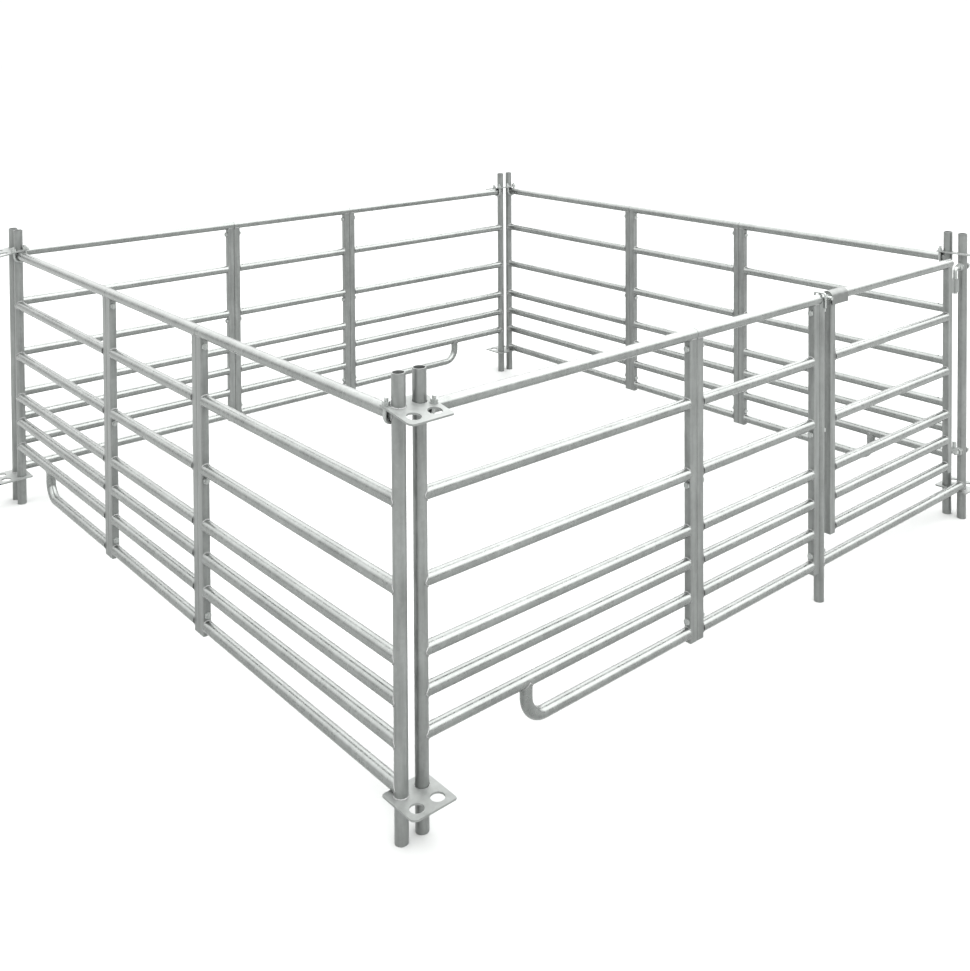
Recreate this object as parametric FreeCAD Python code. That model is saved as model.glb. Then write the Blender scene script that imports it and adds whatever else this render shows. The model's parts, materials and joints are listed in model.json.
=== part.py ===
"""Free-standing four-sided livestock pen of galvanised tube, with a swing gate in its front side.

Frame: origin on the ground at the centre of the pen, +Z up, front (gate) side towards -Y.
Each side is drawn along its own +X, from its J post at x = 0, then turned into place round the pen.
"""
import FreeCAD, Part
import math
import os

V = FreeCAD.Vector
os.makedirs("parts", exist_ok=True)

# ---- tube sizes -------------------------------------------------------------------------------
TUBE_R = 33.7 / 2          # posts and rails are the same round tube
POST_WALL = 2.6
RAIL_WALL = 2.0
STILE_W = 30.0             # stile width along the panel
STILE_D = 25.0             # stile depth across the panel
STILE_WALL = 2.0
STILE_CORNER_R = 3.5

# ---- pen and panel ----------------------------------------------------------------------------
POST_PITCH = 60.0          # spacing of the four holes in a corner plate
PEN_HALF = 1325.0          # pen centre to the outer posts
POST_H = 1100.0            # height of the corner posts
PANEL_L = 2 * PEN_HALF - POST_PITCH
SEAM = 0.6                 # each top rail ends this far short of its joint plane
RAIL_GAPS = (104.0, 100.0, 98.0, 165.0, 205.0, 200.0)
RAIL_BOTTOM_Z = 128.0
RAIL_Z = [RAIL_BOTTOM_Z + sum(RAIL_GAPS[:n]) for n in range(7)][::-1]   # top rail first
TOP_Z = RAIL_Z[0]
# joint planes between the J, middle and end sections; the gate side has no end section
JOINT_X = {"front": (992.0,), "right": (995.0, 1665.0), "back": (995.0, 1622.0), "left": (912.0, 1586.0)}
STILE_FOOT_Z = 100.0
J_LEG_X = 330.0            # where the bottom rail turns up to the rail above it
J_BEND_R = 60.0

# ---- corner plates ----------------------------------------------------------------------------
PLATE = 126.0
PLATE_T = 5.0
PLATE_CORNER_R = 6.0
PLATE_TIP_R = 17.0         # the outermost corner is rounder
DROOP = 9.0                # degrees by which a top plate hangs down towards its free holes
HOLE_R = 18.0              # lets a post drop through
DROOP_SIN = math.sin(math.radians(DROOP))
TOP_PLATE_Z = TOP_Z + (TUBE_R + PLATE_T / 2) / math.cos(math.radians(DROOP)) - PLATE_T / 2
BOTTOM_PLATE_Z = RAIL_BOTTOM_Z - TUBE_R - PLATE_T

# ---- fasteners --------------------------------------------------------------------------------
BOLT_R = 5.0               # M10, along the panel through both stiles
BOLT_HEAD_AF = 17.0
BOLT_HEAD_T = 6.4
BOLT_NUT_T = 8.0
BOLT_END = 3.0             # thread left showing past a nut
BOLT_HOLE_R = 5.25
JOINT_BOLT_Z = (162.0, 563.0, 961.0)
U_ROD_R = 5.0              # M10 U-bolt
U_HALF = 22.0
U_OFFSET = 23.0            # from a post's axis along its top rail
U_HOLE_R = 5.5
U_SLACK = 0.3              # between a rail and the bend under it
U_NUT_AF = 17.0
U_NUT_T = 8.0
U_WASHER_R = 10.0
U_WASHER_T = 2.0
U_END = 8.0                # thread left showing above a nut

# ---- gate -------------------------------------------------------------------------------------
GATE_POST_X = 1630.0       # fixed gate post, on the front panel's own x
GATE_GAP = 30.0            # gate post to gate frame
GATE_FOOT_Z = 208.0
HINGE_OFFSET = 58.0        # hinge axis to the hinge post's axis
LUG_REACH = 41.5           # hinge axis to the gate frame
GUDGEON_R = 8.0            # M16 hook bolt
LUG_BORE_R = 8.07
GUDGEON_BEND_R = 14.0
GUDGEON_HOLE_R = 8.3
GUDGEON_NUT_AF = 24.0
GUDGEON_NUT_T = 13.0
GUDGEON_WASHER_R = 15.0
GUDGEON_WASHER_T = 3.0
GUDGEON_TAIL = 6.0
UPPER_BAR_Z = 974.0
UPPER_PIN_END_Z = 878.0
BARREL_Z = (885.0, 934.0)
BARREL_R = 13.0
WEB_T = 8.0
LOWER_BAR_Z = 262.0
LOWER_PIN_END_Z = 310.0
LUG_T = 8.0
LUG_R = 14.0
LUG_CLEAR = 0.3

# ---- latch ------------------------------------------------------------------------------------
HOUSING_L = 94.0
HOUSING_OVERHANG = 1.5     # past the end of the gate's top rail
HOUSING_SHEET = 3.0
HOUSING_HALF = TUBE_R      # inside radius, tight on the rail
HOUSING_FOOT_Z = 976.0
LATCH_R = 10.0             # round bolt inside the gate's top rail
LATCH_GAP = 2.65           # withdrawn tip to the open end of the fixed top rail
LATCH_L = 140.0
GUIDE_BORE_R = 10.06
GUIDE_L = 18.0
GUIDE_X = (0.0, 80.0)      # from the open end of the gate's top rail
HANDLE_X = -9.5            # from the same end, outside the rail
HANDLE_R = 5.0
HANDLE_REACH = 12.0
KNOB_R = 6.5
KNOB_L = 12.0
KEEPER_X = 4.0             # from the gate post's axis
KEEPER_R = 3.5
KEEPER_FOOT_Z = 973.0
KEEPER_BEND_R = 7.0

CUT_REACH = 60.0           # half length of the rounds that holes and shaped ends are cut with

SIDES = ("front", "right", "back", "left")
CORNERS = ("front_left", "front_right", "back_right", "back_left")


# ---- basic solids -----------------------------------------------------------------------------
def rod(start, end, radius):
    """Solid round bar from one point to another."""
    axis = end.sub(start)
    return Part.makeCylinder(radius, axis.Length, start, axis)


def tube(start, end, radius, wall):
    """Round tube from one point to another, open at both ends."""
    return rod(start, end, radius).cut(rod(start, end, radius - wall))


def hex_prism(base, axis, across_flats, thickness):
    """Hexagonal head or nut standing on base, along axis."""
    corner = across_flats / math.sqrt(3)
    points = [V(corner * math.cos(math.radians(60 * n)), corner * math.sin(math.radians(60 * n)), 0)
              for n in range(7)]
    prism = Part.Face(Part.makePolygon(points)).extrude(V(0, 0, thickness))
    prism.Placement = FreeCAD.Placement(base, FreeCAD.Rotation(V(0, 0, 1), axis))
    return prism


def bent_bar(start, corner, end, bend_r, radius):
    """Solid bar with one round bend between two straight legs."""
    back = start.sub(corner).normalize()
    ahead = end.sub(corner).normalize()
    arc_start = corner.add(back * bend_r)
    arc_end = corner.add(ahead * bend_r)
    centre = arc_start.add(ahead * bend_r)
    arc_middle = centre.add(corner.sub(centre).normalize() * bend_r)
    path = Part.Wire([
        Part.makeLine(start, arc_start),
        Part.Arc(arc_start, arc_middle, arc_end).toShape(),
        Part.makeLine(arc_end, end),
    ])
    profile = Part.Wire(Part.makeCircle(radius, start, back))
    return path.makePipeShell([profile], True, False)


def staple(centre, across, leg_end_z, half, radius):
    """Round bar bent to a half circle, with two legs up or down to leg_end_z."""
    arch = 1 if leg_end_z < centre.z else -1
    left = centre.sub(across * half)
    right = centre.add(across * half)
    path = Part.Wire([
        Part.makeLine(V(left.x, left.y, leg_end_z), left),
        Part.Arc(left, centre.add(V(0, 0, arch * half)), right).toShape(),
        Part.makeLine(right, V(right.x, right.y, leg_end_z)),
    ])
    profile = Part.Wire(Part.makeCircle(radius, V(left.x, left.y, leg_end_z), V(0, 0, 1)))
    return path.makePipeShell([profile], True, False)


def upright_edges(shape):
    return [edge for edge in shape.Edges if abs(edge.tangentAt(edge.FirstParameter).z) > 0.5]


# ---- pieces of a panel, along its own x ---------------------------------------------------------
def post(x, top=POST_H):
    return tube(V(x, 0, 0), V(x, 0, top), TUBE_R, POST_WALL)


def post_core(x):
    """The full round of a post, which a rail's end is shaped to."""
    return rod(V(x, 0, 0), V(x, 0, POST_H), TUBE_R)


def rail(x0, x1, z):
    return tube(V(x0, 0, z), V(x1, 0, z), TUBE_R, RAIL_WALL)


def stile(x_middle, foot_z, bolt_heights=()):
    """Rectangular tube under the top rail, its upper end shaped to the rail."""
    def block(inset, corner_r):
        width = STILE_W - 2 * inset
        depth = STILE_D - 2 * inset
        box = Part.makeBox(width, depth, TOP_Z - foot_z, V(x_middle - width / 2, -depth / 2, foot_z))
        return box.makeFillet(corner_r, upright_edges(box))
    body = block(0, STILE_CORNER_R).cut(block(STILE_WALL, STILE_CORNER_R - STILE_WALL))
    body = body.cut(rod(V(x_middle - STILE_W, 0, TOP_Z), V(x_middle + STILE_W, 0, TOP_Z), TUBE_R))
    for z in bolt_heights:
        body = body.cut(rod(V(x_middle - STILE_W, 0, z), V(x_middle + STILE_W, 0, z), BOLT_HOLE_R))
    return body


def joint_bolt(x0, x1, z):
    """Bolt whose head bears at x0 and whose nut bears at x1."""
    shank = rod(V(x0, 0, z), V(x1 + BOLT_NUT_T + BOLT_END, 0, z), BOLT_R)
    return shank.fuse(hex_prism(V(x0, 0, z), V(-1, 0, 0), BOLT_HEAD_AF, BOLT_HEAD_T))


def nut(base, axis, across_flats, thickness, hole_r):
    body = hex_prism(base, axis, across_flats, thickness)
    return body.cut(rod(base, base.add(axis * thickness), hole_r))


def washer(base, axis, outer_r, thickness, hole_r):
    top = base.add(axis * thickness)
    return rod(base, top, outer_r).cut(rod(base, top, hole_r))


def bent_bottom_rail(joint_x):
    """Bottom rail of the J section: it stops short of the post and turns up to the rail above it."""
    start = V(joint_x - STILE_W, 0, RAIL_BOTTOM_Z)
    corner = V(J_LEG_X, 0, RAIL_BOTTOM_Z)
    end = V(J_LEG_X, 0, RAIL_Z[5])
    body = bent_bar(start, corner, end, J_BEND_R, TUBE_R)
    body = body.cut(bent_bar(start, corner, end, J_BEND_R, TUBE_R - RAIL_WALL))
    return body.cut(rod(V(J_LEG_X - CUT_REACH, 0, RAIL_Z[5]), V(J_LEG_X + CUT_REACH, 0, RAIL_Z[5]), TUBE_R))


def corner_clamp(far_end):
    """U-bolt round a top rail, its washers and nuts, and the holes it needs in the top plate.

    It leans with the plate: outwards at the J end of a panel, and along the rail at the far end.
    """
    x = PANEL_L - U_OFFSET if far_end else U_OFFSET
    plate_top = TOP_Z + TUBE_R + PLATE_T + (U_OFFSET * DROOP_SIN if far_end else 0)
    nut_z = plate_top + U_WASHER_T
    leg_end = nut_z + U_NUT_T + U_END
    up = V(0, 0, 1)
    sets = {
        "corner_u_bolts": [staple(V(x, 0, TOP_Z - U_SLACK), V(0, 1, 0), leg_end, U_HALF, U_ROD_R)],
        "corner_u_bolt_washers": [],
        "corner_u_bolt_nuts": [],
        "holes": [],
    }
    for y in (-U_HALF, U_HALF):
        sets["corner_u_bolt_washers"].append(washer(V(x, y, plate_top), up, U_WASHER_R, U_WASHER_T, U_ROD_R))
        sets["corner_u_bolt_nuts"].append(nut(V(x, y, nut_z), up, U_NUT_AF, U_NUT_T, U_ROD_R))
        sets["holes"].append(rod(V(x, y, TOP_Z), V(x, y, nut_z), U_HOLE_R))
    for shape in sum(sets.values(), []):
        shape.rotate(V(x, 0, TOP_Z), V(0, 1, 0) if far_end else V(1, 0, 0), DROOP)
    return sets


def joint(x0, x1, bolts, nuts):
    for z in JOINT_BOLT_Z:
        bolts.append(joint_bolt(x0, x1, z))
        nuts.append(nut(V(x1, 0, z), V(1, 0, 0), BOLT_HEAD_AF, BOLT_NUT_T, BOLT_R))


# ---- whole sides --------------------------------------------------------------------------------
def j_section(joint_x):
    """Post, six straight rails, the bent bottom rail and the first stile."""
    face = joint_x - STILE_W
    rails = [rail(0, joint_x - SEAM if n == 0 else face, RAIL_Z[n]).cut(post_core(0)) for n in range(6)]
    return {
        "j_post": [post(0)],
        "j_rails": rails,
        "j_bottom_rail": [bent_bottom_rail(joint_x)],
        "stiles": [stile(joint_x - STILE_W / 2, STILE_FOOT_Z, JOINT_BOLT_Z)],
    }


def plain_side(name):
    """Three bolted sections with seven rails each."""
    first, second = JOINT_X[name]
    side = j_section(first)
    side["stiles"] += [stile(x, STILE_FOOT_Z, JOINT_BOLT_Z) for x in
                       (first + STILE_W / 2, second - STILE_W / 2, second + STILE_W / 2)]
    side["mid_rails"] = [rail(first + SEAM, second - SEAM, TOP_Z)]
    side["mid_rails"] += [rail(first + STILE_W, second - STILE_W, z) for z in RAIL_Z[1:]]
    side["end_rails"] = [rail(second + SEAM, PANEL_L, TOP_Z).cut(post_core(PANEL_L))]
    side["end_rails"] += [rail(second + STILE_W, PANEL_L, z).cut(post_core(PANEL_L)) for z in RAIL_Z[1:]]
    side["end_post"] = [post(PANEL_L)]
    bolts = []
    nuts = []
    joint(first - STILE_W, first + STILE_W, bolts, nuts)
    joint(second - STILE_W, second + STILE_W, bolts, nuts)
    return side, bolts, nuts


def gate_side():
    """J section and a short section up to the gate post, then the doorway with its threshold."""
    first = JOINT_X["front"][0]
    side = j_section(first)
    post_face = GATE_POST_X - TUBE_R
    side["stiles"] += [stile(x, STILE_FOOT_Z, JOINT_BOLT_Z) for x in
                       (first + STILE_W / 2, post_face - STILE_W / 2)]
    side["mid_rails"] = [rail(first + SEAM, GATE_POST_X + TUBE_R, TOP_Z)]
    side["mid_rails"] += [rail(first + STILE_W, post_face - STILE_W, z) for z in RAIL_Z[1:]]
    gate_post = post(GATE_POST_X, TOP_Z).cut(rod(V(first, 0, TOP_Z), V(PANEL_L, 0, TOP_Z), TUBE_R))
    for z in JOINT_BOLT_Z:
        start = V(GATE_POST_X - CUT_REACH, 0, z)
        gate_post = gate_post.cut(rod(start, V(GATE_POST_X + CUT_REACH, 0, z), BOLT_HOLE_R))
    hinge_post = post(PANEL_L)
    for z in (LOWER_BAR_Z, UPPER_BAR_Z):
        start = V(PANEL_L - CUT_REACH, 0, z)
        hinge_post = hinge_post.cut(rod(start, V(PANEL_L + CUT_REACH, 0, z), GUDGEON_HOLE_R))
    threshold = rail(GATE_POST_X, PANEL_L, RAIL_BOTTOM_Z).cut(post_core(GATE_POST_X)).cut(post_core(PANEL_L))
    side["gate_post"] = [gate_post]
    side["hinge_post"] = [hinge_post]
    side["threshold_rail"] = [threshold]
    bolts = []
    nuts = []
    joint(first - STILE_W, first + STILE_W, bolts, nuts)
    joint(post_face - STILE_W, GATE_POST_X + TUBE_R, bolts, nuts)
    return side, bolts, nuts


# ---- gate, hinges and latch, on the front panel's x -----------------------------------------------
GATE_LEFT = GATE_POST_X + TUBE_R + GATE_GAP
HINGE_X = PANEL_L - HINGE_OFFSET
GATE_RIGHT = HINGE_X - LUG_REACH


def gate_frame():
    left_face = GATE_LEFT + STILE_W
    right_face = GATE_RIGHT - STILE_W
    return {
        "gate_top_rail": [rail(GATE_LEFT, GATE_RIGHT, TOP_Z)],
        "gate_rails": [rail(left_face, right_face, z) for z in RAIL_Z[1:6]],
        "gate_latch_stile": [stile(GATE_LEFT + STILE_W / 2, GATE_FOOT_Z)],
        "gate_hinge_stile": [stile(GATE_RIGHT - STILE_W / 2, GATE_FOOT_Z)],
    }


def upper_hinge_lug():
    """Upright barrel on a web, welded to the hinge stile."""
    z0, z1 = BARREL_Z
    barrel = rod(V(HINGE_X, 0, z0), V(HINGE_X, 0, z1), BARREL_R)
    web = Part.makeBox(LUG_REACH, WEB_T, z1 - z0, V(GATE_RIGHT, -WEB_T / 2, z0))
    return barrel.fuse(web).cut(rod(V(HINGE_X, 0, z0), V(HINGE_X, 0, z1), LUG_BORE_R)).removeSplitter()


def lower_hinge_lug():
    """Flat lug that rests on the bend of the lower gudgeon."""
    z0 = LOWER_BAR_Z + GUDGEON_BEND_R + LUG_CLEAR
    tongue = Part.makeBox(LUG_REACH, 2 * LUG_R, LUG_T, V(GATE_RIGHT, -LUG_R, z0))
    nose = rod(V(HINGE_X, 0, z0), V(HINGE_X, 0, z0 + LUG_T), LUG_R)
    bore = rod(V(HINGE_X, 0, z0), V(HINGE_X, 0, z0 + LUG_T), LUG_BORE_R)
    return tongue.fuse(nose).cut(bore).removeSplitter()


def gudgeon(bar_z, pin_end_z):
    """Threaded hook bolt through the hinge post, bent up or down into the hinge pin."""
    tail_x = PANEL_L + TUBE_R + GUDGEON_WASHER_T + GUDGEON_NUT_T + GUDGEON_TAIL
    tail = V(tail_x, 0, bar_z)
    return bent_bar(tail, V(HINGE_X, 0, bar_z), V(HINGE_X, 0, pin_end_z), GUDGEON_BEND_R, GUDGEON_R)


def gudgeon_fixings():
    """A washer and a nut on each side of the hinge post, for both hook bolts."""
    washers = []
    nuts = []
    for z in (LOWER_BAR_Z, UPPER_BAR_Z):
        for side in (-1, 1):
            axis = V(side, 0, 0)
            base = V(PANEL_L + side * TUBE_R, 0, z)
            washers.append(washer(base, axis, GUDGEON_WASHER_R, GUDGEON_WASHER_T, GUDGEON_R))
            nut_base = base.add(axis * GUDGEON_WASHER_T)
            nuts.append(nut(nut_base, axis, GUDGEON_NUT_AF, GUDGEON_NUT_T, GUDGEON_R))
    return washers, nuts


def latch_housing():
    """Sheet saddle over the latch end of the gate's top rail, with a straight skirt each side."""
    x = GATE_LEFT - HOUSING_OVERHANG

    def saddle(half):
        skirts = Part.makeBox(HOUSING_L, 2 * half, TOP_Z - HOUSING_FOOT_Z, V(x, -half, HOUSING_FOOT_Z))
        return rod(V(x, 0, TOP_Z), V(x + HOUSING_L, 0, TOP_Z), half).fuse(skirts).removeSplitter()
    return saddle(HOUSING_HALF + HOUSING_SHEET).cut(saddle(HOUSING_HALF))


def latch_guides():
    """Two bushes inside the gate's top rail, which the latch bolt slides in."""
    guides = []
    for offset in GUIDE_X:
        start = V(GATE_LEFT + offset, 0, TOP_Z)
        end = start.add(V(GUIDE_L, 0, 0))
        guides.append(rod(start, end, TUBE_R - RAIL_WALL).cut(rod(start, end, GUIDE_BORE_R)))
    return guides


LATCH_TIP_X = GATE_POST_X + TUBE_R + LATCH_GAP
HANDLE_AXIS_X = GATE_LEFT + HANDLE_X


def latch_bolt():
    """Round bolt, drawn back clear of the fixed rail, with the handle that moves it."""
    bolt = rod(V(LATCH_TIP_X, 0, TOP_Z), V(LATCH_TIP_X + LATCH_L, 0, TOP_Z), LATCH_R)
    handle = rod(V(HANDLE_AXIS_X, 0, TOP_Z), V(HANDLE_AXIS_X, -HANDLE_REACH, TOP_Z), HANDLE_R)
    return bolt.fuse(handle)


def latch_knob():
    start = V(HANDLE_AXIS_X, -HANDLE_REACH, TOP_Z)
    return rod(start, start.add(V(0, -KNOB_L, 0)), KNOB_R)


def latch_keeper():
    """Bent rod over the end of the fixed top rail, tight on its top and both flanks."""
    x = GATE_POST_X + KEEPER_X
    half = TUBE_R + KEEPER_R
    bridge_z = TOP_Z + half
    near = bent_bar(V(x, 0, bridge_z), V(x, -half, bridge_z), V(x, -half, KEEPER_FOOT_Z),
                    KEEPER_BEND_R, KEEPER_R)
    far = bent_bar(V(x, 0, bridge_z), V(x, half, bridge_z), V(x, half, KEEPER_FOOT_Z),
                   KEEPER_BEND_R, KEEPER_R)
    under = rod(V(x - CUT_REACH, 0, TOP_Z), V(x + CUT_REACH, 0, TOP_Z), TUBE_R)
    return near.fuse(far).removeSplitter().cut(under)


# ---- corner plates, drawn at the front left corner -----------------------------------------------
def corner_plate(z, droop):
    """Square plate: one hole is tight on the welded post, the other three let a post drop through."""
    edge = (PLATE - POST_PITCH) / 2
    corner_x = -PEN_HALF - edge
    corner_y = -PEN_HALF - POST_PITCH - edge
    plate = Part.makeBox(PLATE, PLATE, PLATE_T, V(corner_x, corner_y, z))
    tips = [e for e in upright_edges(plate)
            if e.BoundBox.XMin < corner_x + 1 and e.BoundBox.YMin < corner_y + 1]
    plate = plate.makeFillet(PLATE_TIP_R, tips)
    sharp = [e for e in upright_edges(plate) if e.BoundBox.XMax > corner_x + PLATE - 1
             or e.BoundBox.YMax > corner_y + PLATE - 1]
    plate = plate.makeFillet(PLATE_CORNER_R, sharp)
    for column, row in ((1, 0), (0, 1), (1, 1)):
        x = -PEN_HALF + column * POST_PITCH
        y = -PEN_HALF - row * POST_PITCH
        plate = plate.cut(rod(V(x, y, z), V(x, y, z + PLATE_T), HOLE_R))
    plate.rotate(V(0, -PEN_HALF, z + PLATE_T / 2), V(1, 0, 0), droop)
    return plate.cut(rod(V(-PEN_HALF, -PEN_HALF, 0), V(-PEN_HALF, -PEN_HALF, POST_H), TUBE_R))


# ---- placing and writing --------------------------------------------------------------------------
def turned(shape, quarter_turns):
    copy = shape.copy()
    copy.rotate(V(0, 0, 0), V(0, 0, 1), 90 * quarter_turns)
    return copy


def on_side(shape, index):
    """Move a shape from a panel's own x to its side of the pen."""
    copy = shape.copy()
    copy.translate(V(-PEN_HALF + POST_PITCH, -PEN_HALF, 0))
    return turned(copy, index)


def write(name, shapes):
    solids = [solid for shape in shapes for solid in shape.Solids]
    whole = solids[0] if len(solids) == 1 else Part.makeCompound(solids)
    whole.exportStep(f"parts/{name}.step")
    print(name, len(solids), round(sum(s.Volume for s in solids) / 1000, 1), all(s.isValid() for s in solids))


def main():
    hardware = {"joint_bolts": [], "joint_nuts": []}
    clamp_holes = {corner: [] for corner in range(len(CORNERS))}
    for index, name in enumerate(SIDES):
        side, bolts, nuts = gate_side() if name == "front" else plain_side(name)
        for piece, shapes in side.items():
            write(f"{name}_{piece}", [on_side(shape, index) for shape in shapes])
        hardware["joint_bolts"] += [on_side(shape, index) for shape in bolts]
        hardware["joint_nuts"] += [on_side(shape, index) for shape in nuts]
        for far_end in (False,) if name == "front" else (False, True):
            clamp = corner_clamp(far_end)
            corner = (index + 1) % len(CORNERS) if far_end else index
            clamp_holes[corner] += [on_side(shape, index) for shape in clamp.pop("holes")]
            for node, shapes in clamp.items():
                hardware.setdefault(node, []).extend(on_side(shape, index) for shape in shapes)
    for name, shapes in hardware.items():
        write(name, shapes)
    for index, name in enumerate(CORNERS):
        top = turned(corner_plate(TOP_PLATE_Z, DROOP), index)
        for hole in clamp_holes[index]:
            top = top.cut(hole)
        write(f"{name}_top_plate", [top])
        write(f"{name}_bottom_plate", [turned(corner_plate(BOTTOM_PLATE_Z, 0), index)])
    washers, nuts = gudgeon_fixings()
    gate = gate_frame()
    gate["upper_hinge_lug"] = [upper_hinge_lug()]
    gate["lower_hinge_lug"] = [lower_hinge_lug()]
    gate["upper_hook_bolt"] = [gudgeon(UPPER_BAR_Z, UPPER_PIN_END_Z)]
    gate["lower_hook_bolt"] = [gudgeon(LOWER_BAR_Z, LOWER_PIN_END_Z)]
    gate["hook_bolt_washers"] = washers
    gate["hook_bolt_nuts"] = nuts
    gate["latch_housing"] = [latch_housing()]
    gate["latch_guides"] = latch_guides()
    gate["latch_bolt"] = [latch_bolt()]
    gate["latch_knob"] = [latch_knob()]
    gate["latch_keeper"] = [latch_keeper()]
    for piece, shapes in gate.items():
        write(piece, [on_side(shape, 0) for shape in shapes])


main()
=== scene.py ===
"""Looks, light and camera for the galvanised livestock pen. Metres, in the CAD frame."""
import json
import math
import random

import bpy
from mathutils import Matrix, Vector


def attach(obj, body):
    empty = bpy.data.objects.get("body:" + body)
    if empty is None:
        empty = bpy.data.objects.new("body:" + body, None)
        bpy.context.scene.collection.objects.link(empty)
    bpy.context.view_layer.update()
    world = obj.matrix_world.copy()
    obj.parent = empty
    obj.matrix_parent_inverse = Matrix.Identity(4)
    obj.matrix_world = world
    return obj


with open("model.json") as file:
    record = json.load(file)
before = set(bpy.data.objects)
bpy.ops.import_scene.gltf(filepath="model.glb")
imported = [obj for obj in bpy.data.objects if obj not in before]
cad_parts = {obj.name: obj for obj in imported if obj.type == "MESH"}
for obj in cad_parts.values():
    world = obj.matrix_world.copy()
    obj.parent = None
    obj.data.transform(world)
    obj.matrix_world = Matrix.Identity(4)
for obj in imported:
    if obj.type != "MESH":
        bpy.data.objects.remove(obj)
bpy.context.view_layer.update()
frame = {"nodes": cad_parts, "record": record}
rng = random.Random(7)

# ---- sizes shared with the CAD model, in metres ---------------------------------------------------
TUBE_R = 0.01685
PEN_HALF = 1.325
POST_PITCH = 0.060
PANEL_L = 2 * PEN_HALF - POST_PITCH
RAIL_Z = (1.000, 0.800, 0.595, 0.430, 0.332, 0.232, 0.128)
JOINTS = ((0.992,), (0.995, 1.665), (0.995, 1.622), (0.912, 1.586))
STILE_W = 0.030
STILE_HALF_D = 0.0125
J_LEG_X = 0.330
PLATE_T = 0.005
DROOP = math.radians(9.0)
TOP_PLATE_MID_Z = RAIL_Z[0] + (TUBE_R + PLATE_T / 2) / math.cos(DROOP)
BOTTOM_PLATE_TOP_Z = RAIL_Z[6] - TUBE_R
GATE_POST_X = 1.630
GATE_LEFT = 1.67685
GATE_RIGHT = 2.4905
U_HALF = 0.022
U_OFFSET = 0.023
U_ROD_R = 0.005
U_NUT_TOP = TUBE_R + PLATE_T + 0.010
HOOK_Z = (0.262, 0.974)
HOOK_R = 0.008
HOOK_TAIL_X = PANEL_L + TUBE_R + 0.016
UPPER_WEB_HALF = 0.0042
UPPER_WEB_FOOT_Z = 0.886
UPPER_WEB_H = 0.047
LOWER_LUG_HALF = 0.011
LOWER_LUG_FACES_Z = (0.2760, 0.2846)

# ---- small details --------------------------------------------------------------------------------
WELD_LIFT = 0.0004         # a weld's centre line lies this far outside the tube it runs round
BEAD = 0.0018
BEAD_SIDES = 8
STEPS = 40
VENT_TURN = math.radians(112)
VENT_R = 0.0028
VENT_LIFT = 0.00012
VENT_FROM_POST = 0.034     # from the post's axis
VENT_FROM_STILE = 0.014    # from the stile's face
THREAD_R = 0.00035
THREAD_PITCH = 0.0013
THREAD_START = 0.0012
EDGE_R = 0.0006


# ---- procedural materials -------------------------------------------------------------------------
def node_maker(material):
    tree = material.node_tree
    nodes, links = tree.nodes, tree.links

    def add(kind, inputs=None, **settings):
        node = nodes.new(kind)
        for key, value in settings.items():
            setattr(node, key, value)
        for key, value in (inputs or {}).items():
            if isinstance(value, bpy.types.NodeSocket):
                links.new(value, node.inputs[key])
            else:
                node.inputs[key].default_value = value
        return node
    return add


def fresh_material(name):
    material = bpy.data.materials.new(name)
    material.use_nodes = True
    material.node_tree.nodes.clear()
    return material


def ramp(add, factor, stops):
    """Colour between two stops."""
    node = add("ShaderNodeValToRGB", {"Fac": factor})
    for element, (position, value) in zip(node.color_ramp.elements, stops):
        element.position = position
        element.color = (value[0], value[1], value[2], 1.0)
    return node.outputs["Color"]


def grey(value):
    """Zinc grey, a trace towards green."""
    return tuple(value * tint for tint in (0.985, 1.0, 0.99))


def galvanised(name, tone, roughness, spangle_size, streaks, bump, metallic=1.0):
    """Zinc-dipped steel: crystals, cloudy patches and runs, in colour, roughness and relief."""
    material = fresh_material(name)
    add = node_maker(material)
    coords = add("ShaderNodeTexCoord").outputs["Object"]
    crystals = add("ShaderNodeTexVoronoi", {"Vector": coords, "Scale": 1 / spangle_size})
    crystal_tone = add("ShaderNodeSeparateColor", {"Color": crystals.outputs["Color"]}).outputs[0]
    clouds = add("ShaderNodeTexNoise", {"Vector": coords, "Scale": 7.0, "Detail": 5.0, "Roughness": 0.6})
    stretched = add("ShaderNodeMapping", {"Vector": coords, "Scale": (70.0, 70.0, 6.0)})
    runs = add("ShaderNodeTexNoise", {"Vector": stretched.outputs[0], "Scale": 1.0, "Detail": 4.0})
    grain = add("ShaderNodeTexNoise", {"Vector": coords, "Scale": 260.0, "Detail": 3.0})
    cloud_colour = ramp(add, clouds.outputs[0], ((0.3, grey(tone * 0.88)), (0.7, grey(tone * 1.10))))
    crystal_colour = ramp(add, crystal_tone, ((0.0, grey(0.90)), (1.0, grey(1.0))))
    with_crystals = add("ShaderNodeMix", {0: 1.0, 6: cloud_colour, 7: crystal_colour},
                        data_type="RGBA", blend_type="MULTIPLY")
    run_colour = ramp(add, runs.outputs[0], ((0.35, grey(1.0 - streaks)), (0.62, grey(1.0))))
    colour = add("ShaderNodeMix", {0: 1.0, 6: with_crystals.outputs[2], 7: run_colour},
                 data_type="RGBA", blend_type="MULTIPLY").outputs[2]
    rough = add("ShaderNodeMapRange", {0: crystal_tone, 3: roughness - 0.06, 4: roughness + 0.06})
    rough_sum = add("ShaderNodeMapRange", {0: clouds.outputs[0], 3: -0.05, 4: 0.08})
    roughness_out = add("ShaderNodeMath", {0: rough.outputs[0], 1: rough_sum.outputs[0]}, operation="ADD")
    relief = add("ShaderNodeBump", {"Height": grain.outputs[0], "Strength": bump, "Distance": 0.0006})
    relief = add("ShaderNodeBump", {"Height": clouds.outputs[0], "Strength": bump, "Distance": 0.004,
                                    "Normal": relief.outputs[0]})
    shader = add("ShaderNodeBsdfPrincipled", {
        "Base Color": colour, "Roughness": roughness_out.outputs[0], "Metallic": metallic,
        "Normal": relief.outputs[0]})
    add("ShaderNodeOutputMaterial", {"Surface": shader.outputs[0]})
    return material


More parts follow.
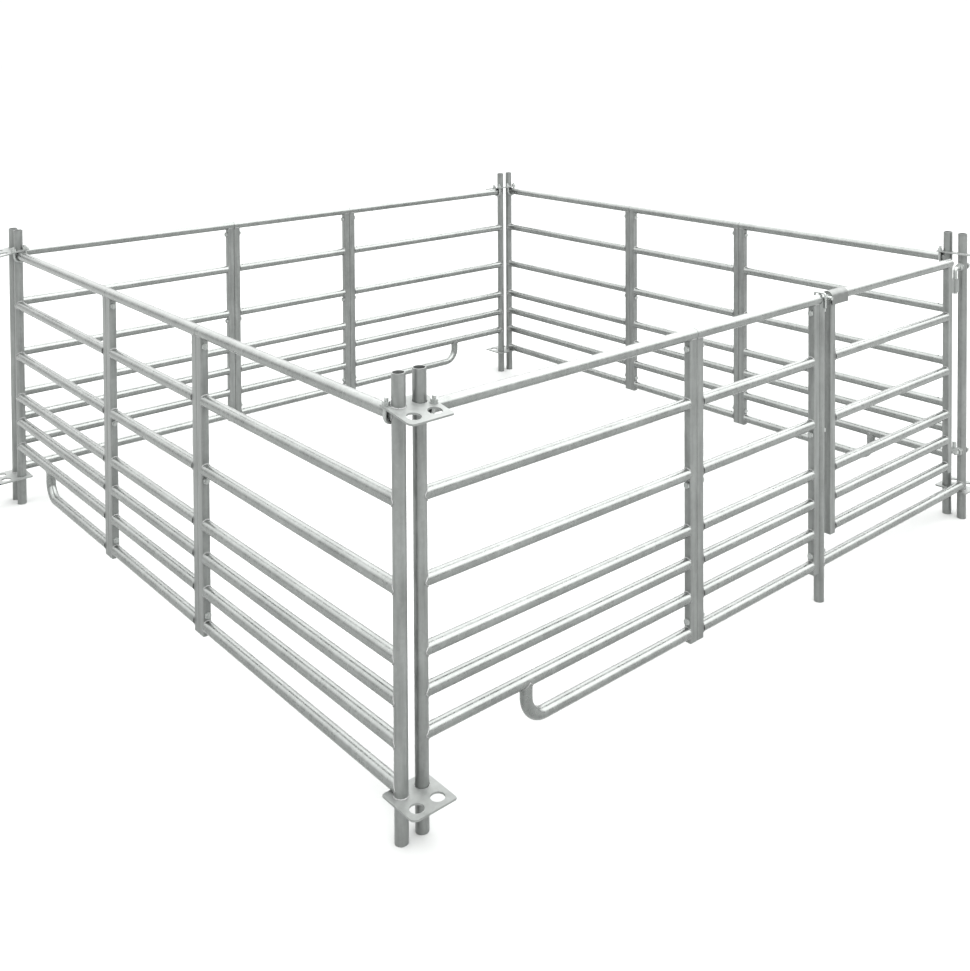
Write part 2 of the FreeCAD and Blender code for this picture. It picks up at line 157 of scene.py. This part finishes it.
def speckled(name, low, high, scale, roughness, metallic):
    """Plain rough surface whose tone wanders between two greys."""
    material = fresh_material(name)
    add = node_maker(material)
    coords = add("ShaderNodeTexCoord").outputs["Object"]
    noise = add("ShaderNodeTexNoise", {"Vector": coords, "Scale": scale, "Detail": 4.0})
    colour = ramp(add, noise.outputs[0], ((0.3, grey(low)), (0.7, grey(high))))
    relief = add("ShaderNodeBump", {"Height": noise.outputs[0], "Strength": 0.3, "Distance": 0.0008})
    shader = add("ShaderNodeBsdfPrincipled", {
        "Base Color": colour, "Roughness": roughness, "Metallic": metallic, "Normal": relief.outputs[0]})
    add("ShaderNodeOutputMaterial", {"Surface": shader.outputs[0]})
    return material


SLOT_LOOKS = {
    "galvanised_rail": galvanised("zinc_rail", 0.222, 0.27, 0.012, 0.08, 0.02, metallic=0.88),
    "galvanised_post": galvanised("zinc_post", 0.208, 0.36, 0.010, 0.20, 0.05, metallic=0.72),
    "galvanised_plate": galvanised("zinc_plate", 0.215, 0.52, 0.012, 0.08, 0.05, metallic=0.60),
    # Painted light: the hardware tone is set well above the other zinc parts to lift bolt heads and U-bolt
    # loops out of the shade between plate and rail.
    "zinc_hardware": galvanised("zinc_hardware", 0.33, 0.32, 0.004, 0.12, 0.05, metallic=0.60),
}
# Painted shade: the whole latch housing gets a much darker zinc tone, standing for the shade on its
# downward-facing skirts.
HOUSING_PAINTED_SHADE = galvanised("zinc_housing_painted_shade", 0.145, 0.40, 0.010, 0.10, 0.05, metallic=0.72)
WELD = speckled("weld_bead", 0.18, 0.27, 320.0, 0.45, 0.6)
# Painted shade: near-black discs stand for the shaded inside of the vent holes, which are not cut.
VENT_HOLE_PAINTED_SHADE = speckled("vent_hole_shade", 0.010, 0.030, 400.0, 0.9, 0.0)
FLOOR = speckled("pale_floor", 0.335, 0.345, 1.5, 0.9, 0.0)

for part in frame["record"]["subparts"]:
    node = frame["nodes"][part["node"]]
    node.data.materials.clear()
    is_housing = part["node"] == "latch_housing"
    node.data.materials.append(HOUSING_PAINTED_SHADE if is_housing else SLOT_LOOKS[part["material_slot"]])
    if is_housing or "plate" in part["node"] or "nut" in part["node"]:
        edges = node.modifiers.new("softened_edges", "BEVEL")
        edges.width = EDGE_R
        edges.segments = 2
        edges.limit_method = "ANGLE"
        edges.angle_limit = math.radians(40)


# ---- mesh helpers ---------------------------------------------------------------------------------
def place(side, x, y, z):
    """A point on a panel's own x, y, z, turned to its side of the pen."""
    px, py = x - PEN_HALF + POST_PITCH, y - PEN_HALF
    for _ in range(side):
        px, py = -py, px
    return Vector((px, py, z))


class Pieces:
    """Collects swept beads and patches into one mesh."""
    def __init__(self):
        self.points = []
        self.faces = []

    def bead(self, path, radius, closed, wobble=0.16):
        """Uneven round bead along a path, tapered at its ends unless it closes on itself."""
        sides = BEAD_SIDES
        count = len(path)
        base = len(self.points)
        for i, point in enumerate(path):
            before = path[i - 1] if closed or i > 0 else point
            after = path[(i + 1) % count] if closed or i < count - 1 else point
            along = (after - before).normalized()
            across = along.orthogonal() if i == 0 else across - along * across.dot(along)
            across.normalize()
            up = along.cross(across)
            taper = 1.0 if closed or 0 < i < count - 1 else 0.3
            size = radius * taper * (1 + wobble * math.sin(i * 1.9) + rng.uniform(-wobble, wobble) / 2)
            for k in range(sides):
                angle = 2 * math.pi * k / sides
                self.points.append(point + (across * math.cos(angle) + up * math.sin(angle)) * size)
        for i in range(count if closed else count - 1):
            a = base + i * sides
            b = base + (i + 1) % count * sides
            for k in range(sides):
                m = (k + 1) % sides
                self.faces.append((a + k, a + m, b + m, b + k))
        if not closed:
            self.faces.append(tuple(base + k for k in reversed(range(sides))))
            self.faces.append(tuple(base + (count - 1) * sides + k for k in range(sides)))

    def vent(self, side, x, z):
        """Round near-black mark on a rail's surface, following its curve: painted shade standing for the dark
        inside of a vent hole.
        """
        rings, spokes = 3, 16
        surface = TUBE_R + VENT_LIFT
        base = len(self.points)

        def on_rail(dx, around):
            angle = VENT_TURN + around / TUBE_R
            return place(side, x + dx, -surface * math.cos(angle), z + surface * math.sin(angle))
        self.points.append(on_rail(0, 0))
        for ring in range(1, rings + 1):
            r = VENT_R * ring / rings
            for k in range(spokes):
                angle = 2 * math.pi * k / spokes
                self.points.append(on_rail(r * math.cos(angle), r * math.sin(angle)))
        for k in range(spokes):
            m = (k + 1) % spokes
            self.faces.append((base, base + 1 + k, base + 1 + m))
            for ring in range(rings - 1):
                a = base + 1 + ring * spokes
                b = a + spokes
                self.faces.append((a + k, b + k, b + m, a + m))

    def build(self, name, material, body, slot):
        mesh = bpy.data.meshes.new(name)
        mesh.from_pydata(self.points, [], self.faces)
        mesh.update()
        mesh.shade_smooth()
        mesh.materials.append(material)
        piece = bpy.data.objects.new(name, mesh)
        bpy.context.scene.collection.objects.link(piece)
        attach(piece, body)


def saddle_weld(pieces, side, post_x, way, z):
    """Where a rail is shaped to a round post."""
    reach = TUBE_R + WELD_LIFT
    path = []
    for i in range(STEPS):
        angle = 2 * math.pi * i / STEPS
        path.append(place(side, post_x + way * reach * abs(math.sin(angle)),
                          reach * math.cos(angle), z + reach * math.sin(angle)))
    pieces.bead(path, BEAD, True)


def stile_weld(pieces, side, x, z):
    """Where a rail butts on the flat face of a stile."""
    limit = STILE_HALF_D - 0.0012      # inside the stile's rounded corners
    path = []
    for i in range(STEPS):
        angle = 2 * math.pi * i / STEPS
        y = TUBE_R * math.cos(angle)
        height = (TUBE_R + WELD_LIFT) * math.sin(angle)
        path.append(place(side, x, max(-limit, min(limit, y)), z + height))
    pieces.bead(path, BEAD, True)


def stile_top_weld(pieces, side, x):
    """Along both edges where a stile's shaped top meets the top rail."""
    z = RAIL_Z[0] - math.sqrt(TUBE_R ** 2 - STILE_HALF_D ** 2)
    share, outset, spans = 0.8, 1.03, 12
    for y in (-STILE_HALF_D, STILE_HALF_D):
        path = [place(side, x + STILE_W * (i / spans - 0.5) * share, y * outset, z) for i in range(spans + 1)]
        pieces.bead(path, BEAD, False)


def hook_thread(pieces, turn, z):
    """One turn of thread on a hook bolt's tail."""
    steps = 24
    path = []
    for i in range(steps):
        angle = 2 * math.pi * i / steps
        centre = place(0, HOOK_TAIL_X + THREAD_START + turn * THREAD_PITCH, 0, z)
        path.append(centre + Vector((0, HOOK_R * math.cos(angle), HOOK_R * math.sin(angle))))
    pieces.bead(path, THREAD_R, True, wobble=0)


def kick_weld(pieces, side):
    """Where the bent bottom rail's leg is shaped to the rail above it."""
    path = []
    for i in range(STEPS):
        angle = 2 * math.pi * i / STEPS
        x, y = (TUBE_R + WELD_LIFT) * math.cos(angle), (TUBE_R + WELD_LIFT) * math.sin(angle)
        path.append(place(side, J_LEG_X + x, y, RAIL_Z[5] - abs(x)))
    pieces.bead(path, BEAD, True)


def plate_weld(pieces, side, level, slope):
    """Round the welded post, on the top face of a flat or drooping plate."""
    reach, lift, thickness = TUBE_R + 0.0006, 0.0003, 0.0017
    path = []
    for i in range(STEPS):
        angle = 2 * math.pi * i / STEPS
        y = reach * math.sin(angle)
        path.append(place(side, -POST_PITCH + reach * math.cos(angle), y, level + lift + y * slope))
    pieces.bead(path, thickness, True)


def clamp_thread(pieces, side, far_end, y, above_nut):
    """One turn of thread on a U-bolt leg, which leans with its plate."""
    height = U_NUT_TOP + above_nut + (U_OFFSET * math.sin(DROOP) if far_end else 0.0)
    steps = 20
    path = []
    for i in range(steps):
        angle = 2 * math.pi * i / steps
        dx, dy = U_ROD_R * math.cos(angle), y + U_ROD_R * math.sin(angle)
        if far_end:
            x = PANEL_L - U_OFFSET + dx * math.cos(DROOP) + height * math.sin(DROOP)
            path.append(place(side, x, dy, RAIL_Z[0] + height * math.cos(DROOP) - dx * math.sin(DROOP)))
        else:
            lean_y = dy * math.cos(DROOP) - height * math.sin(DROOP)
            path.append(place(side, U_OFFSET + dx, lean_y,
                              RAIL_Z[0] + height * math.cos(DROOP) + dy * math.sin(DROOP)))
    pieces.bead(path, THREAD_R, True, wobble=0)


# ---- welds, vent holes and threads ----------------------------------------------------------------
pen_welds, gate_welds = Pieces(), Pieces()
pen_vents, gate_vents = Pieces(), Pieces()
threads = Pieces()
U_THREAD_TURNS, HOOK_THREAD_TURNS = 5, 4
BOTTOM_RAIL = len(RAIL_Z) - 1
TOP_PLATE_TOP_Z = TOP_PLATE_MID_Z + PLATE_T / 2 / math.cos(DROOP)
GATE_POST_STILE_FACE = GATE_POST_X - TUBE_R - STILE_W


def rail_welds(side, n, z):
    """Both ends of every stretch of one rail."""
    if n < BOTTOM_RAIL:
        saddle_weld(pen_welds, side, 0.0, 1, z)
        pen_vents.vent(side, VENT_FROM_POST, z)
    if side:
        saddle_weld(pen_welds, side, PANEL_L, -1, z)
        pen_vents.vent(side, PANEL_L - VENT_FROM_POST, z)
    if n:
        for joint in JOINTS[side]:
            for way in (-1, 1):
                stile_weld(pen_welds, side, joint + way * STILE_W, z)
                pen_vents.vent(side, joint + way * (STILE_W + VENT_FROM_STILE), z)
        if not side:
            stile_weld(pen_welds, side, GATE_POST_STILE_FACE, z)
            pen_vents.vent(side, GATE_POST_STILE_FACE - VENT_FROM_STILE, z)


for side in range(len(JOINTS)):
    for n, z in enumerate(RAIL_Z):
        rail_welds(side, n, z)
    for joint in JOINTS[side]:
        for way in (-1, 1):
            stile_top_weld(pen_welds, side, joint + way * STILE_W / 2)
    kick_weld(pen_welds, side)
    plate_weld(pen_welds, side, BOTTOM_PLATE_TOP_Z, 0.0)
    plate_weld(pen_welds, side, TOP_PLATE_TOP_Z, math.tan(DROOP))
    for far_end in (False, True) if side else (False,):
        for y in (-U_HALF, U_HALF):
            for turn in range(U_THREAD_TURNS):
                clamp_thread(threads, side, far_end, y, THREAD_START + turn * THREAD_PITCH)
stile_top_weld(pen_welds, 0, GATE_POST_X - TUBE_R - STILE_W / 2)
saddle_weld(pen_welds, 0, GATE_POST_X, 1, RAIL_Z[BOTTOM_RAIL])
saddle_weld(pen_welds, 0, PANEL_L, -1, RAIL_Z[BOTTOM_RAIL])
for z in HOOK_Z:
    for turn in range(HOOK_THREAD_TURNS):
        hook_thread(threads, turn, z)
for z in RAIL_Z[1:BOTTOM_RAIL]:
    for x, way in ((GATE_LEFT + STILE_W, 1), (GATE_RIGHT - STILE_W, -1)):
        stile_weld(gate_welds, 0, x, z)
        gate_vents.vent(0, x + way * VENT_FROM_STILE, z)
for x in (GATE_LEFT + STILE_W / 2, GATE_RIGHT - STILE_W / 2):
    stile_top_weld(gate_welds, 0, x)
LUG_WELD_X = GATE_RIGHT + 0.0003
for y in (-UPPER_WEB_HALF, UPPER_WEB_HALF):
    spans = 16
    upright = [place(0, LUG_WELD_X, y, UPPER_WEB_FOOT_Z + UPPER_WEB_H * i / spans) for i in range(spans + 1)]
    gate_welds.bead(upright, BEAD, False)
for z in LOWER_LUG_FACES_Z:
    spans, across = 10, 2 * LOWER_LUG_HALF
    level = [place(0, LUG_WELD_X, -LOWER_LUG_HALF + across * i / spans, z) for i in range(spans + 1)]
    gate_welds.bead(level, BEAD, False)

pen_welds.build("pen_weld_beads", WELD, "pen", "galvanised_rail")
gate_welds.build("gate_weld_beads", WELD, "gate", "galvanised_rail")
pen_vents.build("pen_vent_holes", VENT_HOLE_PAINTED_SHADE, "pen", "galvanised_rail")
gate_vents.build("gate_vent_holes", VENT_HOLE_PAINTED_SHADE, "gate", "galvanised_rail")
threads.build("thread_turns", SLOT_LOOKS["zinc_hardware"], "pen", "zinc_hardware")


# ---- floor, light and camera ----------------------------------------------------------------------
def build_floor():
    half = 60.0
    corners = [(-half, -half, 0), (half, -half, 0), (half, half, 0), (-half, half, 0)]
    mesh = bpy.data.meshes.new("floor")
    mesh.from_pydata(corners, [], [(0, 1, 2, 3)])
    mesh.materials.append(FLOOR)
    floor = bpy.data.objects.new("floor", mesh)
    bpy.context.scene.collection.objects.link(floor)


def build_world():
    """Pale surround that grows brighter overhead and towards the front right, like a softbox over the pen."""
    horizon, overhead = 1.02, 3.5
    rise_start, rise_end = 0.10, 0.55
    bright_side = (0.72, -0.69, 0.0)
    side_low, side_high = 0.55, 1.45
    world = bpy.data.worlds.new("studio")
    world.use_nodes = True
    world.node_tree.nodes.clear()
    add = node_maker(world)
    direction = add("ShaderNodeTexCoord").outputs["Generated"]
    height = add("ShaderNodeSeparateXYZ", {0: direction}).outputs[2]
    upward = add("ShaderNodeMapRange", {0: height, 1: rise_start, 2: rise_end, 3: 0.0, 4: overhead},
                 interpolation_type="SMOOTHSTEP")
    sideways = add("ShaderNodeVectorMath", {0: direction, 1: bright_side}, operation="DOT_PRODUCT")
    bias = add("ShaderNodeMapRange",
               {0: sideways.outputs["Value"], 1: -1.0, 2: 1.0, 3: side_low, 4: side_high})
    strength = add("ShaderNodeMath", {0: upward.outputs[0], 1: bias.outputs[0], 2: horizon},
                   operation="MULTIPLY_ADD")
    light = add("ShaderNodeBackground", {"Color": (1.0, 1.0, 1.0, 1.0), "Strength": strength.outputs[0]})
    add("ShaderNodeOutputWorld", {"Surface": light.outputs[0]})
    bpy.context.scene.world = world


def build_key_light():
    size, power = 5.0, 120.0
    at, target = Vector((-1.5, -0.5, 5.0)), Vector((0, 0, 0.4))
    light = bpy.data.lights.new("overhead_softbox", "AREA")
    light.shape = "RECTANGLE"
    light.size = size
    light.size_y = size
    light.energy = power
    holder = bpy.data.objects.new("overhead_softbox", light)
    holder.location = at
    holder.rotation_euler = (target - at).to_track_quat("-Z", "Y").to_euler()
    bpy.context.scene.collection.objects.link(holder)


def build_camera():
    """Nearly level camera with its picture shifted down, so that uprights stay parallel.

    The shift is a shear held by the camera's parent. A plain view, which drops the parent, is centred.
    """
    at = (-2.8501, -3.4625, 1.8791)
    yaw, pitch, roll = 0.7261, 0.0250, 0.00464
    sensor, lens = 36.0, 42.465
    shift_across, shift_up = -0.0341 * sensor / lens, -0.4376 * sensor / lens
    ahead = Vector((math.sin(yaw) * math.cos(pitch), math.cos(yaw) * math.cos(pitch), -math.sin(pitch)))
    level_right = Vector((math.cos(yaw), -math.sin(yaw), 0.0))
    level_down = ahead.cross(level_right)
    right = level_right * math.cos(roll) + level_down * math.sin(roll)
    up = level_right * math.sin(roll) - level_down * math.cos(roll)
    centre_ray = ahead + right * shift_across + up * shift_up
    data = bpy.data.cameras.new("camera")
    data.sensor_fit = "HORIZONTAL"
    data.sensor_width = sensor
    data.lens = lens * centre_ray.length
    data.clip_end = 200.0
    camera = bpy.data.objects.new("camera", data)
    stand = bpy.data.objects.new("camera_stand", None)
    for item in (stand, camera):
        bpy.context.scene.collection.objects.link(item)
    turn = Matrix((right, up, -centre_ray.normalized())).transposed()
    camera.parent = stand
    camera.matrix_parent_inverse = Matrix.Translation(at) @ turn.to_4x4()
    bpy.context.scene.camera = camera


build_floor()
build_world()
build_key_light()
build_camera()
bpy.context.scene.view_settings.view_transform = "Standard"
